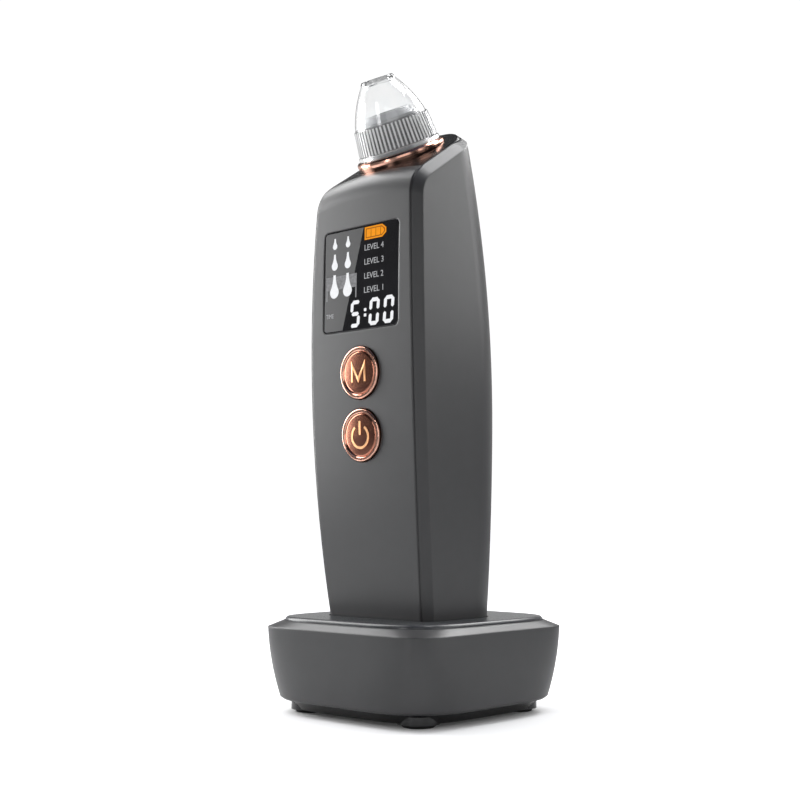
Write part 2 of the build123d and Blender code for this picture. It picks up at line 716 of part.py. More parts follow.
with BuildPart() as motor_magnets:
    with BuildSketch(Plane.XY.offset(MOTOR_LOW + 3)):
        with Locations((0, PUMP_Y)):
            Circle(MOTOR_R - 0.82)
            Circle(MOTOR_R - 2.9, mode=Mode.SUBTRACT)
            Rectangle(5, 30, mode=Mode.SUBTRACT)
    extrude(amount=MOTOR_HIGH - MOTOR_LOW - 6)
finish(motor_magnets, "motor_magnets")

with BuildPart() as motor_end_cap:
    add(upright([(0, PUMP_Y)], MOTOR_R, MOTOR_LOW - 1.6, MOTOR_LOW))
    add(upright([(0, PUMP_Y)], MOTOR_R - 1.0, MOTOR_LOW, MOTOR_LOW + 1.4))
    add(upright([(0, PUMP_Y)], SHAFT_R + RUN_GAP, MOTOR_LOW - 2, MOTOR_LOW + 2), mode=Mode.SUBTRACT)
finish(motor_end_cap, "motor_end_cap")

with BuildPart() as motor_armature:
    with BuildSketch(Plane.XY.offset(MOTOR_LOW + 5)):
        with Locations((0, PUMP_Y)):
            Circle(MOTOR_R - 3.4)
            with PolarLocations(MOTOR_R - 3.4, 3):
                Rectangle(3.2, 1.2, mode=Mode.SUBTRACT)
            Circle(SHAFT_R, mode=Mode.SUBTRACT)
    extrude(amount=MOTOR_HIGH - MOTOR_LOW - 9)
finish(motor_armature, "motor_armature")

with BuildPart() as motor_shaft:
    add(upright([(0, PUMP_Y)], SHAFT_R, MOTOR_LOW - 1.4, CRANK_Z[0] - 0.6))
finish(motor_shaft, "motor_shaft")

# ================================================================ diaphragm pump
PUMP_LOW, PUMP_HIGH = PUMP_Z
CRANK_MID = sum(CRANK_Z) / 2
PIN_AT = (CRANK_THROW, PUMP_Y)  # the crank pin, nearest to the diaphragm
diaphragm_plane = Plane(origin=(0, PUMP_Y, CRANK_MID), x_dir=(0, 1, 0), z_dir=(1, 0, 0))

with BuildPart() as eccentric:
    add(upright([(0, PUMP_Y)], 4.0, MOTOR_HIGH + 1.4, CRANK_Z[0] - 0.4))
    add(upright([PIN_AT], PIN_R, CRANK_Z[0] - 0.4, CRANK_Z[1] + 0.3))
    add(upright([(0, PUMP_Y)], SHAFT_R, MOTOR_HIGH, CRANK_Z[0] - 0.6), mode=Mode.SUBTRACT)
finish(eccentric, "eccentric")

with BuildPart() as connecting_rod:
    add(upright([PIN_AT], PIN_R + 1.7, *CRANK_Z))
    with BuildSketch(diaphragm_plane.offset(CRANK_THROW)):
        Rectangle(2.2, 2.6)
    extrude(amount=DIAPHRAGM_X - CRANK_THROW - 1.2)
    with BuildSketch(diaphragm_plane.offset(DIAPHRAGM_X - 1.3)):
        Circle(3.2)
    extrude(amount=1.0)
    add(upright([PIN_AT], PIN_R + RUN_GAP, CRANK_Z[0] - 1, CRANK_Z[1] + 1), mode=Mode.SUBTRACT)
finish(connecting_rod, "connecting_rod")

with BuildPart() as crank_case:
    with Locations((0.5 * (DIAPHRAGM_X - 8.5), PUMP_Y, (PUMP_LOW + PUMP_HIGH) / 2)):
        Box(DIAPHRAGM_X + 8.5, 2 * PUMP_HALF_Y, PUMP_HIGH - PUMP_LOW)
    fillet(crank_case.edges().filter_by(Axis.Z), 1.5)
    add(upright([(0, PUMP_Y)], 6.6, MOTOR_HIGH + 1.2, PUMP_HIGH - 1.5), mode=Mode.SUBTRACT)
    add(upright([(0, PUMP_Y)], SHAFT_R + 0.6, MOTOR_HIGH - 1, MOTOR_HIGH + 2), mode=Mode.SUBTRACT)
    with BuildSketch(diaphragm_plane):
        Circle(4.6)
    extrude(amount=DIAPHRAGM_X + 1, mode=Mode.SUBTRACT)
    with BuildSketch(diaphragm_plane.offset(DIAPHRAGM_X - 5)):
        with Locations(*PUMP_SCREWS):
            Circle(SCREW_R)
    extrude(amount=8, mode=Mode.SUBTRACT)
finish(crank_case, "crank_case")

# The stack on the crank case, each layer clamped by the four pump screws.
with BuildPart() as diaphragm:
    with BuildSketch(diaphragm_plane.offset(DIAPHRAGM_X)):
        RectangleRounded(2 * PUMP_HALF_Y, PUMP_HIGH - PUMP_LOW, 1.5)
        with Locations(*PUMP_SCREWS):
            Circle(SCREW_R + 0.1, mode=Mode.SUBTRACT)
    extrude(amount=0.8)
finish(diaphragm, "diaphragm")

with BuildPart() as valve_plate:
    with BuildSketch(diaphragm_plane.offset(DIAPHRAGM_X + 0.8)):
        RectangleRounded(2 * PUMP_HALF_Y, PUMP_HIGH - PUMP_LOW, 1.5)
        with Locations(*PUMP_SCREWS):
            Circle(SCREW_R + 0.1, mode=Mode.SUBTRACT)
        with Locations((-3, 0), (3, 0)):
            Circle(0.9, mode=Mode.SUBTRACT)
    extrude(amount=1.4)
finish(valve_plate, "valve_plate")

with BuildPart() as pump_head:
    with BuildSketch(diaphragm_plane.offset(DIAPHRAGM_X + 2.2)):
        RectangleRounded(2 * PUMP_HALF_Y, PUMP_HIGH - PUMP_LOW, 1.5)
        with Locations(*PUMP_SCREWS):
            Circle(SCREW_R + 0.1, mode=Mode.SUBTRACT)
    extrude(amount=4.2)
    add(upright([PORT_AT, OUTLET_AT], PORT_R, PUMP_HIGH - 1, PORT_TOP))
    add(upright([PORT_AT, OUTLET_AT], PORT_R - 0.7, CRANK_MID, PORT_TOP + 1), mode=Mode.SUBTRACT)
    with BuildSketch(diaphragm_plane.offset(DIAPHRAGM_X + 2.2)):
        with Locations((-3, 0), (3, 0)):
            Circle(0.9)
    extrude(amount=2.1, mode=Mode.SUBTRACT)
finish(pump_head, "pump_head")

with BuildPart() as pump_screws:
    with BuildSketch(diaphragm_plane.offset(DIAPHRAGM_X - 4)):
        with Locations(*PUMP_SCREWS):
            Circle(SCREW_R)
    extrude(amount=10.4)
    with BuildSketch(diaphragm_plane.offset(DIAPHRAGM_X + 6.4)):
        with Locations(*PUMP_SCREWS):
            Circle(1.5)
    extrude(amount=1.0)
finish(pump_screws, "pump_screws")

# A rubber sleeve holds the motor quietly in a saddle that stands on the back wall.
with BuildPart() as motor_sleeve:
    add(upright([(0, PUMP_Y)], MOTOR_R + 1.1, MOTOR_LOW + 4, MOTOR_LOW + 16))
    add(upright([(0, PUMP_Y)], MOTOR_R + 0.02, MOTOR_LOW, MOTOR_HIGH), mode=Mode.SUBTRACT)
finish(motor_sleeve, "motor_sleeve")

with BuildPart() as motor_bracket:
    with BuildSketch(Plane.XY.offset(MOTOR_LOW + 5)):
        with Locations((0, PUMP_Y)):
            Circle(MOTOR_R + 2.9)
        with Locations((0, PUMP_Y + 12)):
            Rectangle(12, 20)
        with Locations((0, PUMP_Y)):
            Circle(MOTOR_R + 1.12, mode=Mode.SUBTRACT)
        with Locations((0, PUMP_Y - 16)):
            Rectangle(40, 20, mode=Mode.SUBTRACT)
    extrude(amount=8)
    add(cavity, mode=Mode.INTERSECT)
finish(motor_bracket, "motor_bracket")

# The suction tube climbs from the pump's inlet port to the spigot under the nozzle.
tube_end = nozzle_plane(-11.2).origin
tube_turn = nozzle_plane(-21.5).origin
with BuildPart() as suction_tube:
    with BuildLine():
        FilletPolyline(
            (PORT_AT[0], PORT_AT[1], PORT_TOP - 3.4),
            (PORT_AT[0], PORT_AT[1], tube_turn.Z + 0.6),
            tube_turn,
            tube_end,
            radius=4,
        )
    with BuildSketch(Plane.XY.offset(PORT_TOP - 3.4)):
        with Locations(PORT_AT):
            Circle(PORT_R + 0.95)
            Circle(PORT_R + 0.02, mode=Mode.SUBTRACT)
    sweep()
finish(suction_tube, "suction_tube")

# ================================================================ charging base
with BuildPart() as base_shell:
    loft([squircle(*section) for section in WALL_SECTIONS])
    shoulder = [squircle(RIM_Z, BASE_HALF, WALL_SECTIONS[-1][2]), squircle(SEAM_Z, SEAM_HALF, SEAM_POWER)]
    loft(shoulder, ruled=True)
    chamfer(base_shell.faces().sort_by(Axis.Z)[0].edges(), 0.7)
    inner = [(z, half - BASE_WALL, power) for z, half, power in WALL_SECTIONS]
    inner[0] = (WALL_FOOT - 1, inner[0][1], inner[0][2])
    inner[-1] = (LEDGE_Z, inner[-1][1], inner[-2][2])
    loft([squircle(*section) for section in inner], mode=Mode.SUBTRACT)
    extrude(squircle(LEDGE_Z - 1, LEDGE_HALF, SEAM_POWER), amount=8, mode=Mode.SUBTRACT)
    extrude(squircle(PANEL_UNDER, SEAM_HALF - 0.1, SEAM_POWER), amount=8, mode=Mode.SUBTRACT)
    with BuildSketch(Plane.XZ.offset(-BASE_HALF - 2)):
        with Locations((0, INLET_Z)):
            SlotOverall(INLET_WIDTH + 0.6, INLET_TALL + 0.6)
    extrude(amount=8, mode=Mode.SUBTRACT)
finish(base_shell, "base_shell")

with BuildPart() as base_top_panel:
    extrude(squircle(PANEL_UNDER, SEAM_HALF - 0.1 - PANEL_GAP, SEAM_POWER), amount=PANEL_TOP - PANEL_UNDER)
    fillet(base_top_panel.faces().sort_by(Axis.Z)[-1].edges(), 1.0)
    add(upright(FOOT_PLACES, BOSS_R, PLATE_FLOOR, PANEL_UNDER))
    add(upright(FOOT_PLACES, SCREW_R, PLATE_FLOOR - 1, PLATE_FLOOR + 9), mode=Mode.SUBTRACT)
    add(foot_prism(WELL_GAP, PANEL_UNDER - 1, PANEL_TOP + 1), mode=Mode.SUBTRACT)
finish(base_top_panel, "base_top_panel")

with BuildPart() as dock_well:
    add(foot_prism(WELL_GAP + 1.4, WELL_FLOOR, PANEL_UNDER))
    add(foot_prism(WELL_GAP, FOOT_Z, PANEL_UNDER + 1), mode=Mode.SUBTRACT)
    add(upright(PIN_PLACES, BARREL_R, WELL_FLOOR - 1, FOOT_Z + 1), mode=Mode.SUBTRACT)
finish(dock_well, "dock_well")

with BuildPart() as base_plate:
    loft([squircle(PLATE_UNDER, PLATE_HALF - 1.6, PLATE_POWER), squircle(WALL_FOOT, PLATE_HALF, PLATE_POWER)])
    extrude(squircle(WALL_FOOT, PLATE_HALF, PLATE_POWER), amount=PLATE_RIM - WALL_FOOT)
    extrude(squircle(PLATE_FLOOR, PLATE_HALF - 1.8, PLATE_POWER), amount=5, mode=Mode.SUBTRACT)
    add(upright(FOOT_PLACES, COLLAR_R, PLATE_UNDER - 0.4, PLATE_FLOOR))
    add(upright(FOOT_PLACES, FOOT_R, 0, PLATE_UNDER + 0.4), mode=Mode.SUBTRACT)
    add(upright(FOOT_PLACES, 1.0, 0, PLATE_FLOOR + 1), mode=Mode.SUBTRACT)
    add(upright(STANDOFFS, 2.6, PLATE_FLOOR, BOARD_LOW))
    add(upright(STANDOFFS, SCREW_R, PLATE_FLOOR, BOARD_LOW + 1), mode=Mode.SUBTRACT)
finish(base_plate, "base_plate")

with BuildPart() as base_feet:
    add(upright(FOOT_PLACES, FOOT_R - 0.1, 0, PLATE_UNDER + 0.4))
    chamfer(base_feet.edges().group_by(Axis.Z)[0], 0.3)
    add(upright(FOOT_PLACES, 2.0, 0.8, 2), mode=Mode.SUBTRACT)
finish(base_feet, "base_feet")

with BuildPart() as base_screws:
    add(upright(FOOT_PLACES, 1.9, 0.9, PLATE_UNDER + 0.4))
    add(upright(FOOT_PLACES, SCREW_R, PLATE_UNDER + 0.4, PLATE_FLOOR + 8))
finish(base_screws, "base_screws")

with BuildPart() as ballast_plate:
    with BuildSketch(Plane.XY.offset(PLATE_FLOOR)):
        RectangleRounded(34, 48, 3)
        with Locations(*STANDOFFS):
            Circle(3.0, mode=Mode.SUBTRACT)
    extrude(amount=3.5)
finish(ballast_plate, "ballast_plate")

with BuildPart() as charge_board:
    with BuildSketch(Plane.XY.offset(BOARD_LOW)):
        with Locations((0, 8.5)):
            RectangleRounded(30, 43, 1.5)
        with Locations(*STANDOFFS):
            Circle(SCREW_R + 0.2, mode=Mode.SUBTRACT)
    extrude(amount=BOARD_THICK)
finish(charge_board, "charge_board")

BOARD_HIGH = BOARD_LOW + BOARD_THICK
with BuildPart() as charge_board_screws:
    add(upright(STANDOFFS, SCREW_R, PLATE_FLOOR + 1, BOARD_HIGH))
    add(upright(STANDOFFS, 1.6, BOARD_HIGH, BOARD_HIGH + 1.0))
finish(charge_board_screws, "charge_board_screws")

with BuildPart() as charge_chips:
    for x, y, wide, deep, thick in CHARGE_CHIPS:
        with BuildSketch(Plane.XY.offset(BOARD_HIGH)):
            with Locations((x, y)):
                Rectangle(wide, deep)
        extrude(amount=thick)
finish(charge_chips, "charge_chips")

# The charging inlet: a folded metal mouth with a tongue, soldered to the board's back edge.
with BuildPart() as charging_inlet:
    with BuildSketch(Plane.XZ.offset(-INLET_MOUTH_Y)):
        with Locations((0, INLET_Z)):
            SlotOverall(INLET_WIDTH, INLET_TALL)
    extrude(amount=INLET_DEPTH)
    with BuildSketch(Plane.XZ.offset(-INLET_MOUTH_Y)):
        with Locations((0, INLET_Z)):
            SlotOverall(INLET_WIDTH - 0.6, INLET_TALL - 0.6)
            Rectangle(6.6, 0.7, mode=Mode.SUBTRACT)
    extrude(amount=INLET_DEPTH - 1, mode=Mode.SUBTRACT)
    with Locations((0, INLET_MOUTH_Y - INLET_DEPTH / 2 - 1, BOARD_HIGH)):
        stand = INLET_Z - INLET_TALL / 2 - BOARD_HIGH + 0.1
        Box(6, INLET_DEPTH - 2, stand, align=(Align.CENTER, Align.CENTER, Align.MIN))
finish(charging_inlet, "charging_inlet")

# ================================================================ sprung charging pins
with BuildPart() as pin_holder:
    with BuildSketch(Plane.XY.offset(BOARD_HIGH)):
        RectangleRounded(20, 7, 1)
        with Locations(*PIN_PLACES):
            Circle(BARREL_R, mode=Mode.SUBTRACT)
    extrude(amount=WELL_FLOOR - BOARD_HIGH)
finish(pin_holder, "pin_holder")

with BuildPart() as pin_barrels:
    add(upright(PIN_PLACES, BARREL_R, BOARD_HIGH, BARREL_TOP))
    add(upright(PIN_PLACES, PIN_FLANGE_R + RUN_GAP, BOARD_HIGH + 0.6, BARREL_TOP - 0.5), mode=Mode.SUBTRACT)
    add(upright(PIN_PLACES, PIN_TIP_R + RUN_GAP, BARREL_TOP - 1, BARREL_TOP + 1), mode=Mode.SUBTRACT)
finish(pin_barrels, "pin_barrels")

for name, place in zip(("left", "right"), PIN_PLACES):
    with BuildPart() as contact_pin:
        add(upright([place], PIN_FLANGE_R, FLANGE_Z, FLANGE_Z + 1.2))
        add(upright([place], PIN_TIP_R, FLANGE_Z + 1.2, PIN_TOP))
        fillet(contact_pin.edges().group_by(Axis.Z)[-1], 0.3)
    finish(contact_pin, f"contact_pin_{name}")
    spring_low = BOARD_HIGH + 0.6
    with BuildPart() as pin_spring:
        with BuildLine(Plane((place[0], place[1], spring_low + SPRING_WIRE))) as coil:
            Helix(pitch=0.55, height=FLANGE_Z - spring_low - 2 * SPRING_WIRE, radius=SPRING_R)
        with BuildSketch(Plane(origin=coil.line @ 0, z_dir=coil.line % 0)):
            Circle(SPRING_WIRE)
        sweep()
    finish(pin_spring, f"pin_spring_{name}")
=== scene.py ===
"""Looks, light and camera for the pore vacuum standing in its charging base.

Metres, +Z up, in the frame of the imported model. The front, with the screen and the keys, faces -Y.
"""

import json
import math

import bmesh
import bpy
from mathutils import Matrix, Vector


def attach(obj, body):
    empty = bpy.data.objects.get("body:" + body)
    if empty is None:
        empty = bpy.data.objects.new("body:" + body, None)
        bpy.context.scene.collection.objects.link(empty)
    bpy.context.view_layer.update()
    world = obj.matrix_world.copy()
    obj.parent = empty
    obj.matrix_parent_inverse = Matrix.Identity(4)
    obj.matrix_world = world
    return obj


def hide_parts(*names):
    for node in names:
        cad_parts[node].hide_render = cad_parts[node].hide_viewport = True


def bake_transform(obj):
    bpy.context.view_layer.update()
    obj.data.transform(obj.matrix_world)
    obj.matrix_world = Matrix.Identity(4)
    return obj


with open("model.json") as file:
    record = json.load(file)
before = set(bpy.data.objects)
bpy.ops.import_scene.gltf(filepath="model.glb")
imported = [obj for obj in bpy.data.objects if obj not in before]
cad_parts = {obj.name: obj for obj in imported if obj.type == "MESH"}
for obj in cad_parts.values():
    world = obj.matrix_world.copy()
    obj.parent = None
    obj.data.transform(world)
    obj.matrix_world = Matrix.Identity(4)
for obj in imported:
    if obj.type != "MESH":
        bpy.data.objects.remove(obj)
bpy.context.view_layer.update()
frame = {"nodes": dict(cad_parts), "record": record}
MM = 0.001

# ---------------------------------------------------------------- the front face, as in the model
FRONT_Y = -23.45 * MM
FRONT_Z = 118.0 * MM
FRONT_R = 636.0 * MM
LENS_Z = 128.0 * MM
LENS_SINK = 0.12 * MM
MODE_Z = 99.8 * MM
POWER_Z = 81.5 * MM
KEY_FACE = 0.55 * MM  # dished face of a key, in front of the front face

# ---------------------------------------------------------------- the suction cup, as in the model
NOZZLE_TILT = math.radians(27.0)
NOZZLE_SEAT = (0.0, -6.4 * MM, 170.4 * MM)
NOZZLE_AXIS = (0.0, -math.sin(NOZZLE_TILT), math.cos(NOZZLE_TILT))
CUP_HEIGHT = 22.4 * MM
RIB_REACH = 12.56 * MM  # distance from the axis that parts ribs from valleys, at the cup's lower edge
RIB_TAPER = 0.115  # how much that distance shrinks for each unit of height
RIB_BLUR = 0.12 * MM


def front_matrix(height, lift):
    """Frame on the front face at a height: local x to the right, y up, z outwards."""
    lean = math.asin((height - FRONT_Z) / FRONT_R)
    out = Vector((0.0, -math.cos(lean), math.sin(lean)))
    face_y = FRONT_Y + FRONT_R - math.sqrt(FRONT_R**2 - (height - FRONT_Z) ** 2)
    origin = Vector((0.0, face_y, height)) + out * lift
    across = Vector((1.0, 0.0, 0.0))
    up = out.cross(across)
    matrix = Matrix((across, up, out)).transposed().to_4x4()
    matrix.translation = origin
    return matrix


# ================================================================ node helpers
NOISE_LOW = 0.3  # most of a noise texture lies between these two
NOISE_HIGH = 0.7
BEVEL_SAMPLES = 6


def feed(tree, value, socket):
    """Links an input from another node's output, or sets it to a plain value."""
    if isinstance(value, bpy.types.NodeSocket):
        tree.links.new(value, socket)
    else:
        socket.default_value = value


def new_material(name):
    """A node material: its tree, its shader, already linked to the output, and its object coordinates."""
    material = bpy.data.materials.new(name)
    material.use_nodes = True
    tree = material.node_tree
    tree.nodes.clear()
    output = tree.nodes.new("ShaderNodeOutputMaterial")
    shader = tree.nodes.new("ShaderNodeBsdfPrincipled")
    coords = tree.nodes.new("ShaderNodeTexCoord")
    feed(tree, shader.outputs["BSDF"], output.inputs["Surface"])
    return material, tree, shader, coords.outputs["Object"]


def noise(tree, coords, scale, detail=3.0, stretch=None):
    """A noise texture in object space, stretched along an axis if asked."""
    texture = tree.nodes.new("ShaderNodeTexNoise")
    texture.inputs["Scale"].default_value = scale
    texture.inputs["Detail"].default_value = detail
    source = coords
    if stretch is not None:
        mapping = tree.nodes.new("ShaderNodeMapping")
        mapping.inputs["Scale"].default_value = stretch
        feed(tree, coords, mapping.inputs["Vector"])
        source = mapping.outputs["Vector"]
    feed(tree, source, texture.inputs["Vector"])
    return texture.outputs["Fac"]


def ramp(tree, source, low, high):
    """A noise turned into the colours between two colours."""
    node = tree.nodes.new("ShaderNodeValToRGB")
    stops = node.color_ramp.elements
    stops[0].position = NOISE_LOW
    stops[0].color = (*low, 1.0)
    stops[1].position = NOISE_HIGH
    stops[1].color = (*high, 1.0)
    feed(tree, source, node.inputs["Fac"])
    return node.outputs["Color"]


def level_ramp(tree, source, levels):
    """A ramp of grey levels, given as (position, level) pairs in order."""
    node = tree.nodes.new("ShaderNodeValToRGB")
    stops = node.color_ramp.elements
    while len(stops) < len(levels):
        stops.new(0.5)
    for stop, (position, level) in zip(stops, levels):
        stop.position = position
        stop.color = (level, level, level, 1.0)
    feed(tree, source, node.inputs["Fac"])
    return node.outputs["Color"]


def ranged(tree, source, low, high, to_low=0.0, to_high=1.0):
    """A value mapped from one range to another."""
    node = tree.nodes.new("ShaderNodeMapRange")
    node.inputs["From Min"].default_value = low
    node.inputs["From Max"].default_value = high
    node.inputs["To Min"].default_value = to_low
    node.inputs["To Max"].default_value = to_high
    feed(tree, source, node.inputs["Value"])
    return node.outputs["Result"]


def spread(tree, source, low, high):
    """A noise mapped to a range."""
    return ranged(tree, source, NOISE_LOW, NOISE_HIGH, low, high)


def number_step(tree, operation, *values):
    """The result of an operation on outputs and plain numbers."""
    node = tree.nodes.new("ShaderNodeMath")
    node.operation = operation
    for value, socket in zip(values, node.inputs):
        feed(tree, value, socket)
    return node.outputs["Value"]


def vector_step(tree, operation, *values, result="Vector"):
    """The result of an operation on outputs and plain vectors: a vector, or a number if result is Value."""
    node = tree.nodes.new("ShaderNodeVectorMath")
    node.operation = operation
    for value, socket in zip(values, node.inputs):
        feed(tree, value, socket)
    return node.outputs[result]


def mix_shaders(tree, factor, first, second):
    """A mix of two shaders: all of the first at 0, all of the second at 1."""
    node = tree.nodes.new("ShaderNodeMixShader")
    feed(tree, factor, node.inputs["Fac"])
    feed(tree, first, node.inputs[1])
    feed(tree, second, node.inputs[2])
    return node.outputs["Shader"]


def mix_colours(tree, blend_type, factor, first, second):
    """A mix of two colours of a blend type."""
    node = tree.nodes.new("ShaderNodeMix")
    node.data_type = "RGBA"
    node.blend_type = blend_type
    feed(tree, factor, node.inputs["Factor"])
    feed(tree, first, node.inputs["A"])
    feed(tree, second, node.inputs["B"])
    return node.outputs["Result"]


def bump(tree, shader, source, strength, depth):
    """A relief from a texture, which tilts the shading of a surface."""
    node = tree.nodes.new("ShaderNodeBump")
    node.inputs["Strength"].default_value = strength
    node.inputs["Distance"].default_value = depth
    feed(tree, source, node.inputs["Height"])
    feed(tree, node.outputs["Normal"], shader.inputs["Normal"])
    return node


def broken_edges(tree, relief_node, width):
    """Sharp edges catch the light as if broken by a small radius."""
    edge = tree.nodes.new("ShaderNodeBevel")
    edge.samples = BEVEL_SAMPLES
    edge.inputs["Radius"].default_value = width
    feed(tree, edge.outputs["Normal"], relief_node.inputs["Normal"])


def shade(colour, factor):
    """A colour made darker or lighter, with no channel above 1."""
    return tuple(min(1.0, channel * factor) for channel in colour)


# ================================================================ materials
BROAD = 12.0  # a surface's broad variation is this many times coarser than its grain
FINE_DETAIL = 4.0
GRAIN_DEPTH = 0.1 * MM
EDGE_WIDTH = 0.7 * MM


def surface(
    name,
    colour,
    rough,
    grain,
    vary=0.05,
    metal=0.0,
    relief=0.02,
    stretch=None,
    edge_width=0.0,
    **sockets,
):
    """A moulded, turned or ground surface: slight variation of colour and gloss, with a fine grain."""
    material, tree, shader, coords = new_material(name)
    broad = noise(tree, coords, grain / BROAD)
    fine = noise(tree, coords, grain, FINE_DETAIL, stretch)
    tint = ramp(tree, broad, shade(colour, 1.0 - vary), shade(colour, 1.0 + vary))
    feed(tree, tint, shader.inputs["Base Color"])
    feed(tree, spread(tree, fine, *rough), shader.inputs["Roughness"])
    shader.inputs["Metallic"].default_value = metal
    grain_bump = bump(tree, shader, fine, relief, GRAIN_DEPTH)
    if edge_width:
        broken_edges(tree, grain_bump, edge_width)
    for socket, value in sockets.items():
        shader.inputs[socket.replace("_", " ")].default_value = value
    return material


VALLEY_PAINTED_SHADE = 0.22  # painted shade and highlight: grey levels of the cup's ribbed grip band, dark in the valleys and light on the ribs
RIB_PAINTED_HIGHLIGHT = 0.95
GRIP_CLOUD = 0.6  # how cloudy the grip band and the mouth's rim are
MOUTH_CLOUD = 0.4
CLOUD_LEVELS = (  # from the cup's lower edge to its mouth
    (0.03, 0.0),
    (0.05, GRIP_CLOUD),
    (0.40, GRIP_CLOUD),
    (0.42, 0.0),
    (0.93, 0.0),
    (0.95, MOUTH_CLOUD),
)


def clear_plastic():
    """Clear moulded plastic with faint moulding waves, which lets light through to what it covers.
    The ribbed grip band and the mouth's rim are cloudier than the dome; the grip band carries painted shade
    in its valleys and a painted highlight on its ribs."""
    material, tree, shader, coords = new_material("clear_plastic")
    wave = noise(tree, coords, 220.0, 2.0)
    feed(tree, spread(tree, wave, 0.02, 0.06), shader.inputs["Roughness"])
    feed(tree, ramp(tree, wave, (0.97, 0.98, 0.985), (1.0, 1.0, 1.0)), shader.inputs["Base Color"])
    shader.inputs["Transmission Weight"].default_value = 1.0
    shader.inputs["IOR"].default_value = 1.49
    bump(tree, shader, wave, 0.03, 0.2 * MM)
    path = tree.nodes.new("ShaderNodeLightPath")
    either = number_step(tree, "MAXIMUM", path.outputs["Is Shadow Ray"], path.outputs["Is Diffuse Ray"])
    open_way = tree.nodes.new("ShaderNodeBsdfTransparent")
    open_way.inputs["Color"].default_value = (0.85, 0.85, 0.85, 1.0)
    clear = mix_shaders(tree, either, shader.outputs["BSDF"], open_way.outputs["BSDF"])

    offset = vector_step(tree, "SUBTRACT", coords, NOZZLE_SEAT)
    height = vector_step(tree, "DOT_PRODUCT", offset, NOZZLE_AXIS, result="Value")
    along = vector_step(tree, "MULTIPLY", NOZZLE_AXIS, height)
    radius = vector_step(tree, "LENGTH", vector_step(tree, "SUBTRACT", offset, along), result="Value")
    untapered = number_step(tree, "MULTIPLY_ADD", height, RIB_TAPER, radius)
    on_rib = ranged(tree, untapered, RIB_REACH - RIB_BLUR, RIB_REACH + RIB_BLUR)
    cloud = tree.nodes.new("ShaderNodeBsdfPrincipled")
    cloud.inputs["Roughness"].default_value = 0.22
    # painted shade in the valleys and a painted highlight on the ribs, by distance from the cup's axis
    painted_rib_light = level_ramp(tree, on_rib, ((0.0, VALLEY_PAINTED_SHADE), (1.0, RIB_PAINTED_HIGHLIGHT)))
    feed(tree, painted_rib_light, cloud.inputs["Base Color"])
    clouded = level_ramp(tree, ranged(tree, height, 0.0, CUP_HEIGHT), CLOUD_LEVELS)
    body = mix_shaders(tree, clouded, clear, cloud.outputs["BSDF"])
    output = next(node for node in tree.nodes if node.type == "OUTPUT_MATERIAL")
    feed(tree, body, output.inputs["Surface"])
    return material


def black_glass():
    """Glossy black screen glass with a faint smear of dust in its gloss."""
    material, tree, shader, coords = new_material("black_glass")
    smear = noise(tree, coords, 90.0, 5.0)
    feed(tree, spread(tree, smear, 0.03, 0.07), shader.inputs["Roughness"])
    tint = ramp(tree, smear, (0.010, 0.010, 0.011), (0.014, 0.014, 0.016))
    feed(tree, tint, shader.inputs["Base Color"])
    return material


def circuit_board():
    """Green solder mask over a grid of traces."""
    material, tree, shader, coords = new_material("circuit_board")
    traces = tree.nodes.new("ShaderNodeTexBrick")
    traces.inputs["Scale"].default_value = 260.0
    traces.inputs["Mortar Size"].default_value = 0.06
    traces.inputs["Color1"].default_value = (0.008, 0.075, 0.03, 1.0)
    traces.inputs["Color2"].default_value = (0.012, 0.095, 0.04, 1.0)
    traces.inputs["Mortar"].default_value = (0.03, 0.17, 0.08, 1.0)
    feed(tree, coords, traces.inputs["Vector"])
    feed(tree, traces.outputs["Color"], shader.inputs["Base Color"])
    grain = noise(tree, coords, 3000.0)
    feed(tree, spread(tree, grain, 0.3, 0.4), shader.inputs["Roughness"])
    bump(tree, shader, traces.outputs["Fac"], 0.2, 0.05 * MM)
    return material


UNLIT_LOW = 0.10  # how bright a lit segment's own surface is, as a part of its light
UNLIT_HIGH = 0.12


def lit(name, colour, strength, vary=0.08, grain=900.0):
    """A lit display segment: its light varies slightly, as behind a diffuser."""
    material, tree, shader, coords = new_material(name)
    glow = noise(tree, coords, grain, 2.0)
    feed(tree, ramp(tree, glow, shade(colour, 1.0 - vary), colour), shader.inputs["Emission Color"])
    unlit = ramp(tree, glow, shade(colour, UNLIT_LOW), shade(colour, UNLIT_HIGH))
    feed(tree, unlit, shader.inputs["Base Color"])
    shader.inputs["Emission Strength"].default_value = strength
    shader.inputs["Roughness"].default_value = 0.4
    shader.inputs["Specular IOR Level"].default_value = 0.05
    return material


